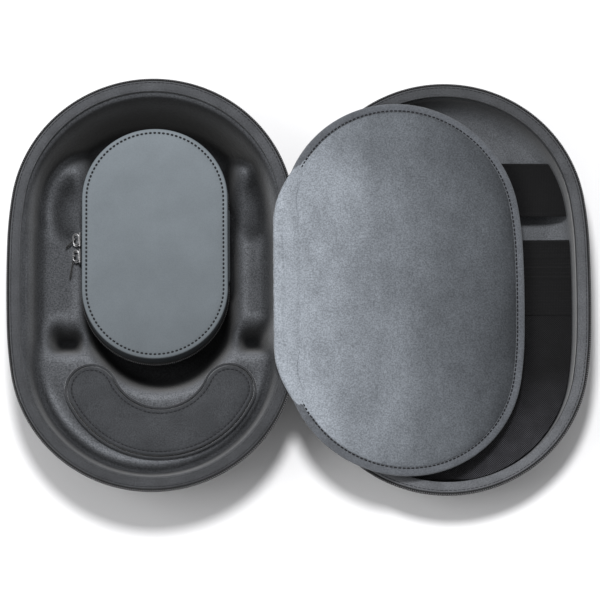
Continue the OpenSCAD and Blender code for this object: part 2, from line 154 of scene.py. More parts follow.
def profile(points, n):
    """A smooth line through a few (inset, height) points, in n steps."""
    p = np.asarray(points, float)
    s = np.concatenate([[0], np.cumsum(np.linalg.norm(np.diff(p, axis=0), axis=1))])
    m = np.gradient(p, s, axis=0)
    out = []
    for t in np.linspace(0, s[-1], n):
        k = min(np.searchsorted(s, t, "right") - 1, len(s) - 2)
        h = s[k + 1] - s[k]
        x = (t - s[k]) / h
        out.append(
            (2 * x**3 - 3 * x**2 + 1) * p[k]
            + (x**3 - 2 * x**2 + x) * h * m[k]
            + (3 * x**2 - 2 * x**3) * p[k + 1]
            + (x**3 - x**2) * h * m[k + 1]
        )
    return np.array(out)


def ripple(points, size, seed, n=10):
    """Smooth seeded unevenness, about -1 to 1, with features of roughly that size."""
    rng = np.random.default_rng(seed)
    points = np.asarray(points, float)
    total = np.zeros(len(points))
    for _ in range(n):
        k = rng.normal(size=points.shape[1])
        k *= TAU / size * rng.uniform(0.5, 1.2) / np.linalg.norm(k)
        total += np.sin(points @ k + rng.uniform(0, TAU))
    return total / math.sqrt(n)


# ---------------------------------------------------------------- meshes
def solid(name, verts, faces, mat, body, replaces=None, cloth=None, angle=None):
    """A mesh from points in mm, riding on a body.

    cloth is the fabric's own coordinates at each face corner, in mm.
    """
    me = bpy.data.meshes.new(name)
    me.from_pydata((np.asarray(verts, float) * MM).tolist(), [], [list(map(int, f)) for f in faces])
    if cloth is not None:
        a = me.attributes.new("cloth", "FLOAT_VECTOR", "CORNER")
        c = np.zeros((len(me.loops), 3), np.float32)
        c[:, :2] = np.asarray(cloth, float) * MM
        a.data.foreach_set("vector", c.ravel())
    bm = bmesh.new()
    bm.from_mesh(me)
    bmesh.ops.recalc_face_normals(bm, faces=bm.faces)
    bm.to_mesh(me)
    bm.free()
    me.polygons.foreach_set("use_smooth", [True] * len(me.polygons))
    if angle:
        me.set_sharp_from_angle(angle=math.radians(angle))
    me.materials.append(mat)
    ob = bpy.data.objects.new(name, me)
    bpy.context.scene.collection.objects.link(ob)
    if body:
        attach(ob, body)
    if replaces:
        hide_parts(replaces)
    return ob


def loft(rings, loop=False, first=None, last=None):
    """Points, faces and cloth coordinates of a skin through closed rings.

    loop joins the last ring to the first. first and last close an end on a point, or flat
    where they are 'flat'.
    """
    rings = [np.asarray(r, float) for r in rings]
    m, n = len(rings), len(rings[0])
    v = np.vstack(rings)
    edge = np.linalg.norm(np.roll(rings[m // 2], -1, 0) - rings[m // 2], axis=1)
    s = np.concatenate([[0], np.cumsum(edge)])
    step = [np.linalg.norm(rings[(k + 1) % m] - rings[k], axis=1).mean() for k in range(m)]
    t = np.concatenate([[0], np.cumsum(step)])
    faces, cloth = [], []
    for k in range(m if loop else m - 1):
        a, b = k * n, ((k + 1) % m) * n
        for i in range(n):
            j = (i + 1) % n
            faces.append((a + i, a + j, b + j, b + i))
            cloth += [(s[i], t[k]), (s[i + 1], t[k]), (s[i + 1], t[k + 1]), (s[i], t[k + 1])]
    for end, a in ((first, 0), (last, (m - 1) * n)):
        if end is None:
            continue
        if isinstance(end, str):
            f = list(range(a, a + n))
            faces.append(f[::-1] if a == 0 else f)
            cloth += [tuple(v[i][:2]) for i in faces[-1]]
            continue
        v = np.vstack([v, [end]])
        for i in range(n):
            j = (i + 1) % n
            f = (a + j, a + i, len(v) - 1) if a == 0 else (a + i, a + j, len(v) - 1)
            faces.append(f)
            cloth += [tuple(v[q][:2]) for q in f]
    return v, faces, cloth


def shape(name, lofted, mat, body, replaces=None, at=(0, 0, 0), angle=None):
    """A solid from what loft gives, moved to its place."""
    v, faces, cloth = lofted
    return solid(name, v + np.asarray(at, float), faces, mat, body, replaces, cloth, angle)


def merged(parts):
    """Several (points, faces, cloth) as one."""
    vs, fs, cs, base = [], [], [], 0
    for v, f, c in parts:
        vs.append(v)
        fs += [tuple(i + base for i in face) for face in f]
        cs += c
        base += len(v)
    return np.vstack(vs), fs, cs


def capsule(length, radius, flat=1.0, around=8, rows=3):
    """A rounded rod along its first axis, pressed to flat times its thickness."""
    rings, half = [], length / 2 - radius
    for side in (-1, 1):
        for a in np.linspace(0.18, math.pi / 2, rows)[::-side]:
            x, r = side * (half + radius * math.cos(a)), radius * math.sin(a)
            q = np.linspace(0, TAU, around, endpoint=False)
            rings.append(np.stack([np.full(around, x), r * np.cos(q), r * np.sin(q) * flat], 1))
    return loft(rings, first=(-half - radius, 0, 0), last=(half + radius, 0, 0))


def copies(template, places, axes):
    """The template once at each place, with axes[k] the rows of its three directions there."""
    v, f, c = template
    vs = np.einsum("nj,kji->kni", v, np.asarray(axes, float)) + np.asarray(places, float)[:, None, :]
    faces = [tuple(i + k * len(v) for i in face) for k in range(len(places)) for face in f]
    return vs.reshape(-1, 3), faces, list(c) * len(places)


def along_axes(path, closed=True):
    """At each point of a path: its direction, the side direction and the up direction."""
    p = np.asarray(path, float)
    t = np.roll(p, -1, 0) - np.roll(p, 1, 0) if closed else np.gradient(p, axis=0)
    t /= np.linalg.norm(t, axis=1)[:, None]
    side = np.cross(np.broadcast_to([0, 0, 1.0], p.shape), t)
    side /= np.linalg.norm(side, axis=1)[:, None]
    return np.stack([t, side, np.cross(t, side)], 1)


def stitches(path, pitch, length, radius):
    """A row of flattened thread stitches along a closed path."""
    total = np.linalg.norm(np.diff(np.vstack([path, path[:1]]), axis=0), axis=1).sum()
    places = even(path, int(round(total / pitch)))
    return copies(capsule(length, radius, 0.7), places, along_axes(places))


def tube(path, radius, around):
    """A round cord along a closed path."""
    p = np.asarray(path, float)
    axes = along_axes(p)
    q = np.linspace(0, TAU, around, endpoint=False)[:, None]
    rings = [p[k] + radius * (np.cos(q) * axes[k, 1] + np.sin(q) * axes[k, 2]) for k in range(len(p))]
    return loft(rings, loop=True)


def circle(n):
    """n angles once round a circle."""
    return np.linspace(0, TAU, n + 1)[:-1]


def slab(top, low):
    """Points and faces of a closed sheet between two grids of points, rows by columns."""
    top, low = np.asarray(top, float), np.asarray(low, float)
    rows, n = top.shape[:2]
    k = rows * n
    faces = []
    for r in range(rows - 1):
        for i in range(n - 1):
            a = r * n + i
            faces += [(a, a + 1, a + n + 1, a + n), (k + a + n, k + a + n + 1, k + a + 1, k + a)]
    edges = [(r * n + i, (r + 1) * n + i) for r in range(rows - 1) for i in (0, n - 1)]
    edges += [(r * n + i, r * n + i + 1) for i in range(n - 1) for r in (0, rows - 1)]
    faces += [(a, b, b + k, a + k) for a, b in edges]
    return np.vstack([top.reshape(-1, 3), low.reshape(-1, 3)]), faces


# ---------------------------------------------------------------- finishes
class Finish:
    """A procedural material on one Principled shader, with textures measured in millimetres."""

    def __init__(self, name, color, rough, **sockets):
        self.mat = bpy.data.materials.new(name)
        self.mat.use_nodes = True
        self.tree = self.mat.node_tree
        self.shader = self.tree.nodes["Principled BSDF"]
        self.color = color
        self.set("Base Color", (*color, 1))
        self.set("Roughness", rough)
        for key, value in sockets.items():
            self.set(key.replace("_", " "), value)
        self.normal = None

    def set(self, socket, value):
        self.shader.inputs[socket].default_value = value

    def node(self, kind, inputs=(), **props):
        n = self.tree.nodes.new("ShaderNode" + kind)
        for key, value in props.items():
            setattr(n, key, value)
        for key, value in dict(inputs).items():
            if isinstance(value, bpy.types.NodeSocket):
                self.tree.links.new(value, n.inputs[key])
            else:
                n.inputs[key].default_value = value
        return n

    def place(self, scale=1.0, cloth=False, turn=0.0):
        """Where a point is, in mm times scale: in the frame, or on the fabric itself."""
        src = self.node("Attribute", attribute_name="cloth") if cloth else self.node("TexCoord")
        s = scale if isinstance(scale, tuple) else (scale,) * 3
        m = self.node("Mapping", {"Vector": src.outputs["Vector" if cloth else "Object"]})
        m.inputs["Scale"].default_value = tuple(1000 * x for x in s)
        m.inputs["Rotation"].default_value = (0, 0, turn)
        return m.outputs[0]

    def along(self, axis):
        """Where a point is in the frame along one axis, in mm."""
        return self.node("SeparateXYZ", {0: self.place()}).outputs[axis]

    def noise(self, size, detail=3, rough=0.55, stretch=(1, 1, 1)):
        """Noise with features of that size in mm."""
        v = self.place(tuple(x / size for x in stretch))
        settings = {"Vector": v, "Scale": 1.0, "Detail": detail, "Roughness": rough}
        return self.node("TexNoise", settings).outputs[0]

    def cells(self, size):
        """Distance from the middle of cells of that size in mm."""
        return self.node("TexVoronoi", {"Vector": self.place(1 / size), "Scale": 1.0}).outputs["Distance"]

    def product(self, a, b):
        return self.node("Math", {0: a, 1: b}, operation="MULTIPLY").outputs[0]

    def wave(self, period, axis, turn=0.0, cloth=False):
        """-1 to 1 across threads of that period in mm."""
        xyz = self.node("SeparateXYZ", {0: self.place(TAU / period, cloth, turn)})
        return self.node("Math", {0: xyz.outputs[axis]}, operation="SINE").outputs[0]

    def weave(self, period):
        """Crossing threads on the fabric itself."""
        return self.product(self.wave(period, "X", cloth=True), self.wave(period, "Y", cloth=True))

    def tint(self, value, at_low, at_high, low=0.3, high=0.7):
        """Colour that goes with a value: at_low times what is there at low, at_high times it at high."""
        share = self.node("MapRange", {"Value": value, "From Min": low, "From Max": high}).outputs[0]
        here = self.shader.inputs["Base Color"]
        scale = self.node("Mix", {"Factor": share, "A": at_low, "B": at_high}, data_type="FLOAT")
        mix = self.node("VectorMath", {"Scale": scale.outputs["Result"]}, operation="SCALE")
        if here.links:
            self.tree.links.new(here.links[0].from_socket, mix.inputs[0])
        else:
            mix.inputs[0].default_value = here.default_value[:3]
        self.tree.links.new(mix.outputs[0], here)
        return self

    def bump(self, height, mm):
        """Relief mm high where the height goes from 0 to 1."""
        n = self.node("Bump", {"Height": height, "Distance": mm * MM, "Strength": 1.0})
        if self.normal is not None:
            self.tree.links.new(self.normal, n.inputs["Normal"])
        self.normal = n.outputs[0]
        self.tree.links.new(self.normal, self.shader.inputs["Normal"])
        return self

    def gloss(self, value, low, high):
        """Roughness that goes with a value."""
        spread = {"Value": value, "From Min": 0.3, "From Max": 0.7, "To Min": low, "To Max": high}
        self.tree.links.new(self.node("MapRange", spread).outputs[0], self.shader.inputs["Roughness"])
        return self


def woven(name, color, period, relief, spread=0.18, ends=None):
    """Plain cloth. ends are its painted light and shade: its tints at the case's south end and at its north
    end.
    """
    f = Finish(name, color, 0.85, Sheen_Weight=0.15, Sheen_Roughness=0.5)
    threads = f.weave(period)
    f.tint(threads, 0.7, 1.25, -0.9, 0.9)
    f.tint(f.noise(14, 4), 1 - spread, 1 + spread)
    f.tint(f.noise(1.0, 2), 0.78, 1.22, 0.35, 0.65)
    # painted light and shade: the cloth paler or darker from the case's south end to its north end
    if ends:
        f.tint(f.along("Y"), *ends, -130, 120)
    return f.bump(threads, relief).bump(f.noise(0.7, 2), 0.04).mat


def velour(name, color, grain, sheen=0.5, relief=0.12, up=None):
    """Short-piled cloth. up is its painted shade: its tint at a low and a high height, and those heights."""
    f = Finish(name, color, 0.95, Sheen_Weight=sheen, Sheen_Roughness=0.35)
    f.set("Specular IOR Level", 0.2)
    pile = f.noise(grain, 3)
    f.tint(pile, 0.72, 1.3, 0.35, 0.65)
    f.tint(f.noise(22, 4), 0.86, 1.14)
    # painted shade: the cloth darker or paler with height
    if up:
        f.tint(f.along("Z"), *up)
    return f.bump(pile, relief).bump(f.noise(3.5, 3), 0.12).mat


def tray_velour():
    """Velour with painted light and shade: painted paler along the ridges and painted darker down in the
    hollows and under the rim.
    """
    f = Finish("tray_velour", (0.088, 0.092, 0.1), 0.95, Sheen_Weight=0.35, Sheen_Roughness=0.35)
    f.set("Specular IOR Level", 0.15)
    grain = f.noise(0.9, 3)
    f.tint(grain, 0.62, 1.42, 0.35, 0.65).tint(f.noise(24, 4), 0.86, 1.14)
    # painted light and shade: paler on ridges, darker in creases and up the north wall
    f.tint(f.node("Attribute", attribute_name="nap").outputs["Fac"], 0, 2, 0, 2)
    # painted shade: darker deep in the hollows and high up under the rim
    f.tint(f.along("Z"), 0.16, 0.8, 15, 37).tint(f.along("Z"), 1.0, 0.5, 44, 53)
    return f.bump(grain, 0.14).bump(f.noise(3.5, 3), 0.12).mat


def zipper_coil():
    f = Finish("zipper_coil", (0.13, 0.13, 0.135), 0.35, Coat_Weight=0.15)
    return f.tint(f.noise(2, 2), 0.8, 1.25).bump(f.noise(0.6, 2), 0.02).mat


def thread():
    f = Finish("thread", (0.009, 0.009, 0.011), 0.7)
    return f.tint(f.noise(1.2, 2), 0.7, 1.5).bump(f.wave(0.35, "X", 0.7), 0.05).mat


def elastic():
    """Ribbed webbing."""
    f = Finish("elastic", (0.0035, 0.0035, 0.004), 0.8, Sheen_Weight=0.06, Sheen_Roughness=0.4)
    f.tint(f.wave(0.9, "Y"), 0.7, 1.4, -1, 1).tint(f.noise(18, 3), 0.85, 1.2)
    return f.bump(f.wave(0.9, "Y"), 0.12).bump(f.wave(1.1, "X"), 0.06).mat


def knit_mesh():
    """Black mesh with pale dots where its holes are, paler towards the lid's south end."""
    f = Finish("knit_mesh", (0.0035, 0.0035, 0.004), 0.85, Sheen_Weight=0.05)
    holes = f.product(f.wave(1.5, "X"), f.wave(1.5, "Y"))
    f.tint(holes, 0.6, 5.5, 0.35, 0.95).tint(f.noise(12, 3), 0.8, 1.25)
    f.tint(f.along("Y"), 6, 1, -110, -55)
    return f.bump(holes, -0.2).mat


def plush():
    """Deep pile, with painted light and shade: palest by the hinge and darker towards its far side and its
    north end.
    """
    f = Finish("plush", (0.142, 0.155, 0.173), 0.9, Sheen_Weight=0.55, Sheen_Roughness=0.3)
    f.set("Specular IOR Level", 0.25)
    pile = f.noise(1.0, 3)
    f.tint(f.noise(38, 5, rough=0.6, stretch=(1, 0.7, 1)), 0.8, 1.2)
    f.tint(f.noise(9, 4, stretch=(1, 0.6, 1)), 0.93, 1.07)
    f.tint(pile, 0.74, 1.28, 0.35, 0.65)
    # painted light and shade: paler by the hinge, darker towards the far side and towards the north end
    f.tint(f.along("X"), 1.75, 0.72, -14, 90).tint(f.along("X"), 1.0, 0.42, 90, 148)
    f.tint(f.along("Y"), 1.0, 0.72, 60, 120)
    return f.bump(pile, 0.16).bump(f.noise(6, 4), 0.35).mat


def pouch_leather():
    """Fine-grained leather, with painted light a little paler to the north and painted shade down its sides.
    """
    f = Finish("pouch_leather", (0.125, 0.142, 0.156), 0.6)
    f.set("Specular IOR Level", 0.3)
    grain = f.cells(0.9)
    f.tint(f.noise(30, 3), 0.93, 1.07).tint(grain, 0.95, 1.04, 0.1, 0.6)
    # painted light paler to the north, painted shade darker down the walls
    f.tint(f.along("Y"), 0.82, 1.2, -50, 105).tint(f.along("Z"), 0.4, 1.0, 49, 52.0)
    return f.bump(grain, 0.05).bump(f.noise(0.5, 3), 0.03).gloss(f.noise(8, 3), 0.54, 0.68).mat


def edge_paint():
    f = Finish("edge_paint", (0.03, 0.034, 0.038), 0.5)
    return f.tint(f.noise(3, 3), 0.8, 1.2).bump(f.noise(0.8, 2), 0.03).mat


def slider_metal():
    f = Finish("slider_metal", (0.5, 0.5, 0.51), 0.3, Metallic=1.0)
    return f.tint(f.noise(4, 3), 0.9, 1.06).gloss(f.noise(1.5, 4), 0.24, 0.4).bump(f.noise(0.6, 3), 0.01).mat


def dark_metal():
    f = Finish("dark_metal", (0.03, 0.03, 0.032), 0.35, Metallic=0.7)
    return f.tint(f.noise(3, 3), 0.8, 1.3).gloss(f.noise(1.5, 3), 0.28, 0.45).mat


def pull_cord():
    f = Finish("pull_cord", (0.012, 0.012, 0.013), 0.7, Sheen_Weight=0.2)
    return f.tint(f.noise(1.0, 2), 0.7, 1.5).bump(f.wave(0.5, "Y", 0.6), 0.1).mat


SHELL = woven("shell_fabric", (0.03, 0.032, 0.036), 0.9, 0.12)
# Each rim's ends carry painted light and shade, paler or darker from its south end to its north end.
RIMS = {
    "base": woven("rim_fabric_base", (0.07, 0.073, 0.08), 0.8, 0.1, ends=(0.66, 0.95)),
    "lid": woven("rim_fabric_lid", (0.098, 0.102, 0.111), 0.8, 0.1, ends=(1.2, 0.55)),
}
TAPE = woven("zipper_tape", (0.008, 0.008, 0.009), 0.7, 0.1)
SPINE = woven("spine_fabric", (0.03, 0.031, 0.034), 0.9, 0.1)
BINDING = woven("binding_tape", (0.1, 0.108, 0.122), 0.7, 0.1, spread=0.12)
BACKING = woven("divider_backing_fabric", (0.06, 0.064, 0.07), 0.7, 0.1)
TRAY = tray_velour()
PAD = velour("pad_velour", (0.042, 0.044, 0.048), 0.7)
# The lining is painted darker up towards the rim, as shade under the rim.
LINING = velour("lining_fabric", (0.1, 0.105, 0.114), 0.8, 0.3, 0.08, up=(1.0, 0.3, 22, 37))
POUCH_LINING = velour("pouch_lining", (0.03, 0.031, 0.034), 0.5, 0.3)
TEETH = zipper_coil()
THREAD = thread()
ELASTIC = elastic()
MESH = knit_mesh()
PLUSH = plush()
LEATHER = pouch_leather()
EDGE = edge_paint()
METAL = slider_metal()
DARK = dark_metal()
CORD = pull_cord()

# Inset and height down each shell, outside from the floor up and inside from the rim down
BASE_OUTSIDE = [[44, 0], [28, 1.5], [20.5, 5], [16.8, 10], [13.8, 18], [10.8, 30], [7.4, 43]]
BASE_OUTSIDE += [[3.4, 55], [2.4, 57]]
BASE_INSIDE = [[5.4, 57], [6.4, 55], [10.4, 43], [13.8, 30], [16.8, 18.5], [19.9, 11.5], [23.5, 7]]
BASE_INSIDE += [[30, 4.4], [44, 3]]
LID_OUTSIDE = [[36, 0], [22, 1.2], [14.5, 4], [11.3, 8], [9.2, 14], [7.3, 22], [5, 30.5]]
LID_OUTSIDE += [[2.8, 37.5], [2.4, 39]]
LID_INSIDE = [[5.4, 39], [5.8, 37.5], [8, 30.5], [10.3, 22], [12.2, 14.5], [14.3, 9], [17.5, 6]]
LID_INSIDE += [[24, 4.3], [36, 3]]
SHELL_PROFILES = {"base": (BASE_OUTSIDE, BASE_INSIDE), "lid": (LID_OUTSIDE, LID_INSIDE)}


def under_rings(half, h):
    """Underside of what lies in a shell, from the floor up, just clear of the shell's inside."""
    return [lift(outline(d + 0.2), min(z + 0.2, h - 3.3)) for d, z in SHELL_PROFILES[half][1][::-1]]


# ---------------------------------------------------------------- the moulded tray's surface
TRAY_SHIFT, WELL_R, WELL_Y = 5.0, 54.8, -18.0
ARCH_C, ARCH_R, ARCH_A = np.array([5.0, -50.0]), 51.5, math.radians(66)


def directions(n):
    """n unit vectors round a circle."""
    return [np.array([math.cos(a), math.sin(a)]) for a in np.arange(0, TAU, TAU / n)]


def tray_height(p):
    """Height of the tray at points of the base's plan, as the CAD has it."""
    u, v = p[:, 0], p[:, 1]
    w = np.abs(u - TRAY_SHIFT)
    d = HALF_W - 0.8 - np.hypot(u, np.maximum(np.abs(v) - 46.8, 0))
    q = np.hypot(w, np.minimum(v - WELL_Y, 0)) - WELL_R
    e = np.hypot((w - 62) / 17, (v - 58) / 31)
    n = np.minimum(np.maximum(v - 45, 0), (e - 1) * 20)
    top = smin(34 - 1.7 * np.maximum(n, 0), 34 + 2.6 * q, 4)
    dish = 8 * (1 - ease(0.45, 0.95, e)) * ease(22, 48, v)
    r = v + 36
    s = np.hypot(np.maximum(np.abs(w - 64) - 7, 0), np.maximum(np.where(r > 0, 0.6 * r, -r) - 4, 0)) - 6
    shelf = smin(top - dish, 34 + 4 * s, 5)
    south = ease(-50, -85, v)
    ridge = 2.5 * np.exp(-(((d - 24) / 3.5) ** 2)) * south
    platform = smin(41 + 2.6 * q, 41 + ridge - 4.5 * np.maximum(0, 21 - d) * south, 3)
    k = ease(-30, -50, v)
    body = (1 - k) * shelf + k * platform
    held = np.where((np.abs(w - 41) < 5) & (np.abs(v - POUCH_Y) < 30), POUCH_Z - 0.3, 0)
    wall = 57 - (3 + 0.8 * ease(40, 90, v) + 2 * ease(-50, -90, v)) * np.maximum(d - 12.5, 0)
    return np.maximum(held, smax(smax(body, 12, 3), wall, 3))


def soft_height(p, radius=4.5):
    """The tray's height with its creases rounded off, as velour over a moulding is."""
    near = [p + radius * share * way for share in (0.5, 1) for way in directions(8)]
    return (tray_height(p) + sum(tray_height(q) for q in near)) / (1 + len(near))


def paint_light_and_shade(plan):
    """Painted light and shade on the velour: paler on ridges, darker in creases and up the tray's north wall.
    """
    around = [soft_height(plan + 6 * way) for way in directions(12)]
    ridge = np.clip((soft_height(plan) - np.mean(around, axis=0)) / 2, -1, 1)
    up_north = np.maximum(0, tray_height(plan + [0, 1]) - tray_height(plan - [0, 1])) / 2
    shade = np.clip(1 + np.where(ridge > 0, 0.75, 0.5) * ridge, 0.4, 1.75)
    return shade / (1 + 1.5 * up_north * ease(60, 100, plan[:, 1]))


def make_tray():
    wall = [9.9, 10.2, 10.8, 11.5, 12.2]
    top = []
    for d in np.concatenate([wall, np.arange(12.8, 30, 0.7), np.arange(30.4, 96, 1.15)]):
        plan = outline(d)
        under_rim = 56.7 - 1.2 * (d - wall[0]) if d < 14 else BASE_H
        z = np.minimum(soft_height(plan), under_rim)
        top.append(lift(plan, z + 0.12 * ripple(plan, 34, 3) * ease(13, 20, d)))
    middle = (0, 0, soft_height(np.zeros((1, 2)))[0])
    lofted = loft(under_rings("base", BASE_H) + top, first="flat", last=middle)
    tray = shape("tray_skin", lofted, TRAY, "base", "tray_insert", (BASE_X, 0, 0))
    # painted light and shade, kept on the tray's points
    nap = tray.data.attributes.new("nap", "FLOAT", "POINT")
    nap.data.foreach_set("value", paint_light_and_shade(lofted[0][:, :2]).astype(np.float32))


# ---------------------------------------------------------------- the crescent pad
PAD_W, PAD_Z = 32.0, 43.8


def crescent(w, n=90, m=24):
    """Outline of the crescent pad: a stroke of width w along its arc."""
    r, a0, a1 = w / 2, -math.pi / 2 - ARCH_A, -math.pi / 2 + ARCH_A
    end = [ARCH_C + ARCH_R * np.array([math.cos(a), math.sin(a)]) for a in (a0, a1)]
    return np.vstack(
        [
            arc(ARCH_C, ARCH_R + r, a0, a1, n)[:-1],
            arc(end[1], r, a1, a1 + math.pi, m)[:-1],
            arc(ARCH_C, ARCH_R - r, a1, a0, n)[:-1],
            arc(end[0], r, a0 + math.pi, a0 + TAU, m)[:-1],
        ]
    )


def make_crescent():
    """The crowned pad, the welt round it, and its row of stitches."""
    at = (BASE_X, 0, 0)
    side = [(0.3, 0), (0, 0.5), (0.0, 1.5), (0.5, 2.3), (1.2, 2.7)]
    rings = [lift(crescent(PAD_W - 2 * d), PAD_Z + h) for d, h in side]
    for d in np.concatenate([[1.9, 2.4, 2.9, 3.5], np.linspace(4.4, 15.8, 14)]):
        plan = crescent(PAD_W - 2 * d)
        sewn = 0.7 * math.exp(-(((d - 2.6) / 0.7) ** 2))
        rings.append(lift(plan, PAD_Z + 2.8 + 0.9 * ease(2.5, 9, d) - sewn + 0.15 * ripple(plan, 18, 5)))
    lofted = loft(rings, first="flat", last="flat")
    pad = shape("crescent_cushion", lofted, PAD, "base", "crescent_pad", at)
    welt = tube(lift(crescent(PAD_W + 3), PAD_Z + 0.9), 0.85, 8)
    shape("crescent_welt", welt, PAD, "base", "crescent_piping", at)
    row = stitches(lift(crescent(PAD_W - 5.2), PAD_Z + 2.35), 3.0, 2.1, 0.32)
    shape("crescent_stitches", row, THREAD, "base", at=at)


# ---------------------------------------------------------------- shells, rims and zipper halves
# Pitch of the zipper's turns, and the rough length of one half's coil
COIL_PITCH, COIL_LENGTH = 1.5, 804


def rings_of(section):
    """Rings of a half's outline through (inset, height) points."""
    return [lift(outline(d), z) for d, z in section]


def make_shell(half, at):
    """The moulded shell, outside and in."""
    outer, inner = SHELL_PROFILES[half]
    lofted = loft(rings_of(profile(outer, 28)) + rings_of(inner), first="flat", last="flat")
    shape(half + "_shell_skin", lofted, SHELL, half, half + "_shell", at)


def make_rim(half, at, h):
    """The flat fabric rim, rolled over at its outer edge and grooved by its inner seam."""
    section = [(RIM_OUTER, h - 0.7), (2.7, h - 0.3), (3.2, h - 0.12), (3.6, h - 0.32), (4.0, h - 0.1)]
    section += [(5.5, h), (7.8, h - 0.02), (8.5, h - 0.15), (8.8, h - 0.5), (9.1, h - 0.25), (9.45, h - 0.35)]
    section += [(RIM_INNER, h - 0.8), (RIM_INNER, h - RIM_T), (RIM_OUTER, h - RIM_T)]
    roll = loft(rings_of(section), loop=True)
    shape(half + "_rim_skin", roll, RIMS[half], half, half + "_rim", at)
    row = stitches(lift(outline(3.6), h - 0.2), 3.0, 2.2, 0.22)
    shape(half + "_rim_stitches", row, THREAD, half, at=at)


def make_zipper(half, at, h):
    """The zipper's tape, the stitches that hold it, and its coil, turn by turn."""
    section = [(2.3, h - 5.3), (1.5, h - 5.25), (1.15, h - 4.9), (1.1, h - 2.6)]
    section += [(0.4, h - 1.9), (0.5, h - 1.3), (2.3, h - 1.2)]
    node = half + "_zipper_tape"
    shape(half + "_tape_skin", loft(rings_of(section), loop=True), TAPE, half, node, at)
    row = stitches(lift(outline(1.05), h - 4.2), 3.0, 2.2, 0.22)
    shape(half + "_tape_stitches", row, THREAD, half, at=at)

    path = even(outline(0.95), int(round(COIL_LENGTH / COIL_PITCH)))
    axes = along_axes(lift(path, 0))
    across_path = np.stack([axes[:, 1], -axes[:, 0], axes[:, 2]], 1)
    turns = copies(capsule(1.1, 0.36, 0.9), lift(path, h - 1.05), across_path)
    shape(half + "_coil", turns, TEETH, half, half + "_zipper_teeth", at)


def make_spine():
    """The cloth hinge, which bends between the halves."""
    path = profile([(-1.5, 55.5), (-1.1, 50.5), (0, 48.4), (1.1, 46), (1.5, 40.5)], 17)
    top = []
    for y in np.linspace(-58, 58, 59):
        top.append([(x, y, z + 0.15 * math.sin(y * 0.7) * (abs(x) < 1)) for x, z in path])
    v, faces = slab(top, np.array(top) + [0.5, 0, 0.35])
    ob = solid("spine_cloth", v, faces, SPINE, None, "spine_strip")
    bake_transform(ob)


# ---------------------------------------------------------------- the lid's lining and pockets
LINING_FLOOR = 12
POCKET_INSET = 13.4


def make_lining():
    wall = [[9.9, 38.7], [10.1, 38.2], [10.5, 34], [11.5, 28], [13.1, 22], [16.6, 16.3], [23, 13]]
    rings = rings_of(profile(wall + [[33, LINING_FLOOR]], 30))
    for d in np.arange(36, 96, 3.0):
        plan = outline(d)
        rings.append(lift(plan, LINING_FLOOR + 0.25 * ripple(plan, 40, 8) * ease(33, 48, d)))
    lofted = loft(under_rings("lid", LID_H) + rings, first="flat", last=(0, 0, LINING_FLOOR))
    shape("lid_lining_skin", lofted, LINING, "lid", "lid_lining", (LID_X, 0, 0))


def half_width(y, inset):
    """Half the outline's width at a distance along it."""
    side = outline(inset)
    side = side[side[:, 0] > 0]
    side = side[np.argsort(side[:, 1])]
    return np.interp(y, side[:, 1], side[:, 0])


def across(node, south, north, z, thick, rows, mat, relief=None, sag=0.0, bow=0.0):
    """A stretched sheet from one side of the lid to the other, with its own relief across its width.

    sag is how far its middle hangs, and bow how far its long edges swell at the middle.
    """
    width = north - south
    top, low = [], []
    for v in np.linspace(south, north, rows):
        half = half_width(v, POCKET_INSET)
        u = np.linspace(-half, half, 90)
        middle = 1 - (u / half) ** 2
        dip = -sag * middle * math.sin(math.pi * (v - south) / width)
        y = v + bow * middle * (2 * (v - south) / width - 1)
        raised = relief(v - south, width) if relief else 0.0
        top.append(np.stack([u, y, z + thick / 2 + raised + dip], 1))
        low.append(np.stack([u, y, z - thick / 2 + dip], 1))
    v, faces = slab(top, low)
    ob = solid(node + "_cloth", v + [LID_X, 0, 0], faces, mat, "lid", node, angle=60)


def hems(d, width):
    """Relief of a strap: a seam along each edge, thinned at the very edge."""
    edge = min(d, width - d)
    return 0.25 * math.exp(-(((edge - 1.4) / 0.8) ** 2)) - 0.5 * (edge < 0.3)


def ribs(d, width):
    """Relief of the pocket band: fine ribs and four raised seams."""
    seams = sum(math.exp(-(((d - c) / 0.9) ** 2)) for c in (26, 33, 41, width - 1.5))
    return 0.1 * math.sin(d * TAU / 2.2) + 0.5 * seams


def make_pockets():
    across("elastic_strap", 54.25, 91.75, POCKET_Z + 0.75, 1.3, 76, ELASTIC, hems, bow=0.6)
    across("pocket_band", -16, 37, POCKET_Z + 0.8, 1.3, 160, ELASTIC, ribs, sag=0.4)
    across("mesh_pocket", -131, -16.2, POCKET_Z + 0.4, 0.7, 80, MESH, sag=1.0)


# ---------------------------------------------------------------- the divider
# Insets in the half's outline of the binding's outer edge and of the cushion's edge
BINDING_IN = DIV_IN - 1.2
PLUSH_IN = BINDING_IN + BIND_W
# Insets from the cushion's edge of the rings across a flat underside, from the middle out
INWARDS = [74, 60, 46, 34, 23, 14, 7, 2]


def tilted(s, y, h, t):
    """Points of the divider s out from its hinge and h off its middle surface, t of the way over its bow."""
    cos, sin = math.cos(DIV_TILT), math.sin(DIV_TILT)
    x = DIV_X + s * cos + h * sin
    return np.stack([x, y + DIV_Y, DIV_Z - s * sin + h * cos + 4 * DIV_BOW * t * (1 - t)], 1)


def bent(plan, h):
    """Points of the divider's own plan (from the plan's middle) at height h off its bowed middle surface."""
    s = plan[:, 0] + DIV_FROM + DIV_HALF
    return tilted(s, plan[:, 1], h, s / DIV_SPAN)


def divider_rings(section):
    """Rings of the divider through (inset in the half's outline, height off its middle surface) points."""
    return [bent(outline(d), np.full(480, z)) for d, z in section]


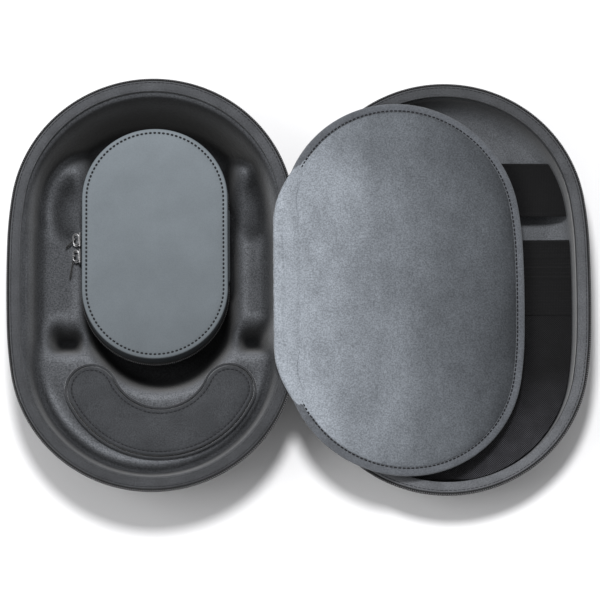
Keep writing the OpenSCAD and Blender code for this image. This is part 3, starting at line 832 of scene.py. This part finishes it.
def make_plush():
    """The crowned cushion, puckered where its edge is sewn to the binding."""
    under = [(d, -0.35) for d in INWARDS] + [(0.2, -0.3), (0.1, 0.5)]
    rings = divider_rings([(PLUSH_IN + d, z) for d, z in under])
    for d in np.concatenate([[0.1, 0.5, 1.0, 1.6, 2.3, 3.1, 4.0, 5.0], np.arange(6.2, 74, 1.4)]):
        plan = outline(PLUSH_IN + d)
        along = np.arange(len(plan)) / len(plan) * 700
        near = math.exp(-d / 6.5)
        pleats = np.sin(along * TAU / 6.3 + 2.0 * ripple(plan, 30, 11))
        pucker = (pleats * (0.5 + 0.5 * ripple(plan, 24, 12))) * 0.28 * near
        gathers = np.sin(plan[:, 1] * 0.35 + ripple(plan, 40, 19))
        by_hinge = ease(-70, -78, plan[:, 0]) * 0.5 * gathers * near
        dome = 0.75 + 0.25 * math.sin(min(d, 74) / 74 * math.pi / 2)
        puff = BIND_TOP - 0.5 + (CROWN + 0.4) * (1 - math.exp(-d / 5.5)) * dome
        broad = 0.4 * ripple(plan, 60, 14) * (1 - math.exp(-d / 15))
        fine = 0.12 * ripple(plan, 14, 15) * (1 - math.exp(-d / 6))
        rings.append(bent(plan, puff + pucker + by_hinge + (broad + fine)))
    lofted = loft(rings, first="flat", last="flat")
    cushion = shape("divider_plush", lofted, PLUSH, "divider", "divider_cushion")


def make_backing():
    """The board of cloth under the cushion."""
    sides = [(d, -1.15) for d in INWARDS] + [(0.4, -1.15), (0.1, -0.8), (0.4, -0.45)]
    sides += [(d, -0.45) for d in INWARDS[::-1]]
    board = loft(divider_rings([(PLUSH_IN + d, z) for d, z in sides]), first="flat", last="flat")
    shape("divider_back_cloth", board, BACKING, "divider", "divider_backing")


def make_binding():
    """The tape round the divider's edge, and the row of stitches that holds it."""
    section = [(0.6, BIND_LOW), (0.1, -0.7), (0, 0.1), (0.15, 0.9), (0.8, 1.35), (1.8, 1.5), (3.4, 1.45)]
    section += [(4.6, 1.3), (5.2, 0.95), (5.7, 1.25), (6.0, 0.9), (6.0, BIND_LOW)]
    rings = []
    for d, z in section:
        plan = outline(BINDING_IN + d)
        rings.append(bent(plan, z + 0.08 * ripple(plan, 9, 21) * (z > 0.5)))
    tape = loft(rings, loop=True)
    shape("divider_binding_tape", tape, BINDING, "divider", "divider_binding")
    row = stitches(divider_rings([(BINDING_IN + 5.2, 1.3)])[0], 3.0, 2.2, 0.5)
    shape("divider_stitches", row, THREAD, "divider")


def fold_section(y):
    """Section of the fold at y, out from the hinge and up: round the hinge roll, then over the cushion."""
    away = abs(y)
    end = float(ease(43, 84, away))
    mid_x = end * (DIV_FROM + DIV_HALF - half_width(y, BINDING_IN) + 1.8)
    mid_z, radius = 0.15 * end, 2.55 - 0.75 * end - 0.8 * float(ease(74, 92, away))
    reach = mid_x + 9.5 + (10.5 - mid_x) * (1 - float(ease(24, 70, away)))
    crown = mid_z + radius
    section = []
    for a in np.radians(np.linspace(215 - 25 * end, 95, 13)):
        r = radius + 0.1 * (1 - end) * math.sin(y * 0.5 + 3 * a)
        section.append((mid_x + r * math.cos(a), mid_z + r * math.sin(a)))
    wander = 0.5 * math.sin(y * 0.11 + 1)
    for x in np.linspace(mid_x + 0.2, reach, 30):
        share = (x - mid_x) / (reach - mid_x)
        crease = 0.8 * math.exp(-(((x - 4.6 - wander) / 0.9) ** 2)) * ease(50, 36, away)
        rise = (3.95 - crown) * ease(0, 0.55, share) * (1 - end)
        tuck = (1.3 - 0.9 * ease(30, 60, away)) * ease(0.6, 1, share)
        section.append((x, crown + (rise - tuck) - crease + 0.08 * math.sin(y * 0.37 + x)))
    return np.array(section)


def make_fold():
    """The plush that runs on from the cushion over the hinge roll, thinner towards its ends."""
    top, low = [], []
    for y in np.linspace(-92, 92, 185):
        s, h = fold_section(y).T
        line = tilted(s, np.full(len(s), y), h, np.clip(s / DIV_SPAN, 0, 1))
        d = np.gradient(line, axis=0)
        inward = np.stack([d[:, 2], 0 * d[:, 1], -d[:, 0]], 1)
        inward /= np.linalg.norm(d[:, [0, 2]], axis=1)[:, None]
        top.append(line)
        low.append(line + 0.6 * inward)
    v, faces = slab(top, low)
    solid("divider_fold", v, faces, PLUSH, "divider")


def make_roll():
    """The plush roll that the divider hinges on, narrower at its ends."""
    q = circle(24)
    rings = []
    for y in np.linspace(-50, 50, 101):
        r = 2.0 * (1 - 0.35 * ease(46, 50, abs(y))) * (1 + 0.05 * math.sin(y * 1.1))
        rings.append(np.stack([DIV_X + r * np.cos(q), np.full(24, y), DIV_Z + r * np.sin(q)], 1))
    roll = loft(rings, first="flat", last="flat")
    shape("divider_roll", roll, PLUSH, "divider_hinge", "divider_hinge_roll")


# ---------------------------------------------------------------- the pouch
POUCH_AT = (POUCH_X, POUCH_Y, 0)
POUCH_FACE = -POUCH_R - 1.4
POUCH_TOOTH_PITCH, POUCH_ZIPPER_LENGTH = 1.3, 380
HINGE_HALF = 26


def wall_ring(out, z, n=48):
    """The pouch's outline, out from its walls, at one height."""
    return lift(stadium(POUCH_R + out, POUCH_C, n), z)


def make_pouch():
    """The pouch's tub, the wall of its cover, the corded edge, and the stitched panel on top."""
    z, top = POUCH_Z, SPLIT_Z - 0.4
    outside = profile([[5, z], [2, z + 1], [0.5, z + 3], [0, z + 5.5], [0, top]], 18)
    inside = [(1.6, top), (1.6, z + 5.5), (2.1, z + 4), (3.6, z + 2.4), (7, z + 1.6)]
    tub = loft([wall_ring(-d, q) for d, q in list(outside) + inside], first="flat", last="flat")
    shape("pouch_tub_skin", tub, LEATHER, "pouch", "pouch_tub", POUCH_AT)

    side = [(-0.3, 37.3), (0, 37.8), (0.15, 41), (0.2, 44.5), (0.1, 48.5), (0, 50.6), (-0.4, 51.2)]
    side += [(-1.6, 51.2), (-1.6, 37.3)]
    wall = loft([wall_ring(d, q) for d, q in side], loop=True)
    shape("pouch_wall_skin", wall, LEATHER, "pouch_cover", "pouch_wall", POUCH_AT)

    cord = tube(wall_ring(0.02, 51.25), 0.62, 10)
    shape("pouch_edge_cord", cord, EDGE, "pouch_cover", "pouch_piping", POUCH_AT)

    face = [(-1.0, 51.5), (0.1, 51.7), (0.35, 52.2), (0.1, 52.85), (-0.7, 53.15), (-1.8, 53.1)]
    face += [(-2.7, 52.8), (-3.2, 52.55), (-3.7, 52.75), (-4.8, 53.0), (-8, 53.12)]
    face += [(-16, 53.25), (-26, 53.35), (-36, 53.4), (-46, 53.4)]
    rings = []
    for d, q in face:
        plan = stadium(POUCH_R + d, POUCH_C)
        rings.append(lift(plan, q + 0.05 * ripple(plan, 30, 31) * (d < -4)))
    panel = loft(rings, first="flat", last="flat")
    shape("pouch_panel_skin", panel, LEATHER, "pouch_cover", "pouch_panel", POUCH_AT)
    row = stitches(wall_ring(-2.6, 52.95), 3.0, 2.0, 0.66)
    shape("pouch_panel_stitches", row, THREAD, "pouch_cover", at=POUCH_AT)


def make_pouch_zipper(node, body, low, teeth_z):
    """One half of the pouch's zipper, round its walls from one end of the hinge to the other."""
    path = even(wall_ring(0.6, low + 1.15, 96), 960)
    keep = (path[:, 0] < POUCH_R - 3) | (np.abs(path[:, 1]) > HINGE_HALF + 0.3)
    first = int(np.argmax(keep & ~np.roll(keep, 1)))
    path = np.roll(path, -first, 0)[: int(keep.sum())]
    band = []
    for p, axes in zip(path, along_axes(path, closed=False)):
        section = ((-0.5, -1.1), (0.1, -1.1), (0.15, 1.1), (-0.5, 1.1))
        band.append([p - axes[1] * out + [0, 0, up] for out, up in section])
    shape(node + "_tape", loft(band, first="flat", last="flat"), TAPE, body, node, POUCH_AT)

    path = even(path, int(POUCH_ZIPPER_LENGTH / POUCH_TOOTH_PITCH), closed=False)
    path[:, 2] = teeth_z
    x = along_axes(path, closed=False)
    upright = np.stack([x[:, 2], x[:, 0], x[:, 1]], 1)
    teeth = copies(capsule(1.3, 0.36, 1.0, 6, 2), path - x[:, 1] * 0.3, upright)
    shape(node + "_coil", teeth, TEETH, body, at=POUCH_AT)


def make_hinge_strip(node, body, low, tall, deep):
    """One half of the pouch's leather hinge, a padded strip on its straight side."""
    middle = low + tall / 2
    rows = []
    for y in np.concatenate([[-26, -25.8, -25.2], np.linspace(-24, 24, 40), [25.2, 25.8, 26]]):
        end = math.sqrt(max(0.0, 1 - (max(0, abs(y) - 24.5) / 1.5) ** 2)) * 0.9 + 0.1
        spread = 0.6 + 0.4 * end
        section = []
        for a in np.linspace(0, math.pi, 11):
            section.append((0.1 + deep * math.sin(a) ** 0.45 * end, middle - math.cos(a) * tall / 2 * spread))
        section += [(0.05, middle + tall / 2 * spread * share) for share in (0.6, 0, -0.6)]
        rows.append([(POUCH_R + out, y, z) for out, z in section])
    strip = loft(rows, first="flat", last="flat")
    shape(node + "_leather", strip, LEATHER, body, node, POUCH_AT)


def make_pouch_seams():
    make_pouch_zipper("pouch_lower_zipper", "pouch", 34.6, 36.6)
    make_pouch_zipper("pouch_upper_zipper", "pouch_cover", 37.1, 37.4)
    make_hinge_strip("pouch_lower_hinge", "pouch", 32.2, 4.5, 1.0)
    make_hinge_strip("pouch_upper_hinge", "pouch_cover", 37.3, 7.8, 1.7)


def rounded_box(low, high, radius=0.35):
    """A box between two corners with its edges rounded."""
    (x0, y0, z0), (x1, y1, z1) = low, high
    b = min(radius, (x1 - x0) / 3, (y1 - y0) / 3, (z1 - z0) / 3)
    rings = []
    turned = b * 0.3
    steps = [(b, z0), (turned, z0 + turned), (0, z0 + b), (0, z1 - b), (turned, z1 - turned), (b, z1)]
    for inset, z in steps:
        left, right, south, north = x0 + inset + b, x1 - inset - b, y0 + inset + b, y1 - inset - b
        corners = ((right, north, 0), (left, north, 90), (left, south, 180), (right, south, 270))
        ring = []
        for x, y, start in corners:
            for a in np.radians([start, start + 30, start + 60, start + 90]):
                ring.append((x + b * math.cos(a), y + b * math.sin(a), z))
        rings.append(ring)
    return loft(rings, first="flat", last="flat")


def slider_pin(sign):
    """Middle of the pin that a pouch slider's pull swings on, for the north or the south slider."""
    return np.array([POUCH_FACE - 3.2 - 1.7, 1 + sign * 5.8, SPLIT_Z])


def make_pouch_slider(name, sign):
    """A slider: its plate, the bridge on it, the pin, and two loops that hold the pin."""
    pin = slider_pin(sign)
    mid = pin[1]
    parts = []
    for outer, inner, half, tall in ((1.5, 0.1, 5.0, 2.5), (2.4, 1.2, 2.2, 1.2)):
        low = (POUCH_FACE - outer, mid - half, SPLIT_Z - tall)
        parts.append(rounded_box(low, (POUCH_FACE - inner, mid + half, SPLIT_Z + tall)))
    q = circle(16)
    section = np.stack([pin[0] + 0.7 * np.cos(q), pin[1] + 0.7 * np.sin(q)], 1)
    parts.append(loft([lift(section, SPLIT_Z + end) for end in (-2.2, 2.2)], first="flat", last="flat"))
    loop = stadium(1.9, 1.9, 12, 4) + [POUCH_FACE - 3.4, mid]
    parts += [tube(lift(loop, SPLIT_Z + end), 0.55, 8) for end in (-1.95, 1.95)]
    body = "pouch_slider_" + name
    shape(body + "_metal", merged(parts), METAL, body, body, POUCH_AT, angle=40)


def make_pouch_pull(name, sign, angle, length):
    """A pull: an eye round the slider's pin and a cord from it, with a thicker grip at its end."""
    pin, a = slider_pin(sign), math.radians(angle)
    way, side = np.array([-math.cos(a), -math.sin(a), 0]), np.array([math.sin(a), -math.cos(a), 0])
    q = circle(24)
    eye = []
    for r, z in ((0.85, -1.4), (1.2, -1.4), (1.3, -1.2), (1.3, 1.2), (1.2, 1.4), (0.85, 1.4)):
        eye.append(np.stack([pin[0] + r * np.cos(q), pin[1] + r * np.sin(q), np.full(24, SPLIT_Z + z)], 1))
    cord = []
    for s in np.linspace(0.9, length, 30):
        tip = 1 - 0.5 * ease(length - 1.2, length, s) ** 2
        grip = ease(length * 0.55, length * 0.62, s)
        twist = 1 + 0.06 * math.sin(s * 5) * (s < length * 0.55)
        thick, tall = (0.62 + 0.16 * grip) * tip * twist, (1.05 + 0.3 * grip) * tip
        up = np.array([0, 0, tall])
        cord.append([pin + way * s + side * thick * math.cos(k) + up * math.sin(k) for k in circle(12)])
    parts = [loft(eye, loop=True), loft(cord, first="flat", last="flat")]
    body = "pouch_pull_" + name
    shape(body + "_cord", merged(parts), CORD, body, body, POUCH_AT, angle=50)


# ---------------------------------------------------------------- CAD nodes that stay, better finished
def finish_nodes():
    kept = {
        "pouch_tub_lining": POUCH_LINING,
        "zipper_stub_north": TAPE,
        "zipper_stub_south": TAPE,
        "main_slider_north": DARK,
        "main_slider_south": DARK,
        "main_pull_north": CORD,
        "main_pull_south": CORD,
    }
    for name, mat in kept.items():
        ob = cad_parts[name]
        ob.data.materials.clear()
        ob.data.materials.append(mat)
        bevel = ob.modifiers.new("edges", "BEVEL")
        bevel.width, bevel.segments = 0.35 * MM, 3
        bevel.limit_method = "ANGLE"
        bevel.angle_limit = math.radians(50)


def make_stub_coil(name, sign):
    """The closed stretch of the main zipper's coil at one end of the spine."""
    path = [(0, y, HINGE_Z + 0.75) for y in np.arange(58.5, 84, COIL_PITCH) * sign]
    coil = copies(capsule(2.0, 0.5, 0.5), path, np.broadcast_to(np.eye(3), (len(path), 3, 3)))
    shape("stub_coil_" + name, coil, TEETH, "base")


# ---------------------------------------------------------------- studio
def make_studio():
    half = 6.0
    me = bpy.data.meshes.new("floor")
    corners = [(-half, -half, 0), (half, -half, 0), (half, half, 0), (-half, half, 0)]
    me.from_pydata(corners, [], [(0, 1, 2, 3)])
    floor = bpy.data.objects.new("floor", me)
    bpy.context.scene.collection.objects.link(floor)
    f = Finish("floor", (0.86, 0.86, 0.87), 0.9)
    f.tint(f.noise(600, 2), 0.99, 1.01)
    me.materials.append(f.mat)

    world = bpy.data.worlds.new("studio")
    bpy.context.scene.world = world
    world.use_nodes = True
    world.node_tree.nodes["Background"].inputs["Color"].default_value = (1, 1, 1, 1)
    world.node_tree.nodes["Background"].inputs["Strength"].default_value = 0.42

    for name, at, wide, power in (("key", (-0.12, 0.55, 2.6), 0.5, 62), ("fill", (-1.6, -0.3, 1.8), 1.5, 16)):
        light = bpy.data.lights.new(name, "AREA")
        light.shape, light.size, light.energy = "DISK", wide, power
        ob = bpy.data.objects.new(name, light)
        ob.location = at
        ob.visible_glossy = name != "key"
        ob.rotation_euler = (-Vector(at)).to_track_quat("-Z", "Y").to_euler()
        bpy.context.scene.collection.objects.link(ob)


CAMERA = {"target": (0.0004, -0.0129, 0.060), "far": 4.0, "tilt": 14.7, "roll": -0.43, "lens": 352.8}


def make_camera():
    data = bpy.data.cameras.new("camera")
    data.sensor_width, data.lens = 36, CAMERA["lens"]
    data.clip_end = 50
    ob = bpy.data.objects.new("camera", data)
    a, r = math.radians(CAMERA["tilt"]), math.radians(CAMERA["roll"])
    back = Vector((0, -math.sin(a), math.cos(a)))
    right, up = Vector((1, 0, 0)), Vector((0, math.cos(a), math.sin(a)))
    x, y = right * math.cos(r) + up * math.sin(r), up * math.cos(r) - right * math.sin(r)
    m = Matrix((x, y, back)).transposed().to_4x4()
    m.translation = Vector(CAMERA["target"]) + back * CAMERA["far"]
    ob.matrix_world = m
    bpy.context.scene.collection.objects.link(ob)
    bpy.context.scene.camera = ob


make_camera()
make_studio()
bpy.context.scene.view_settings.view_transform = "Standard"
for half, x, h in (("base", BASE_X, BASE_H), ("lid", LID_X, LID_H)):
    make_shell(half, (x, 0, 0))
    make_rim(half, (x, 0, 0), h)
    make_zipper(half, (x, 0, 0), h)
make_tray()
make_crescent()
make_spine()
make_lining()
make_pockets()
make_plush()
make_backing()
make_binding()
make_fold()
make_roll()
make_pouch()
make_pouch_seams()
make_pouch_slider("north", 1)
make_pouch_slider("south", -1)
make_pouch_pull("north", 1, 45, 8)
make_pouch_pull("south", -1, 80, 16)
finish_nodes()
make_stub_coil("north", 1)
make_stub_coil("south", -1)
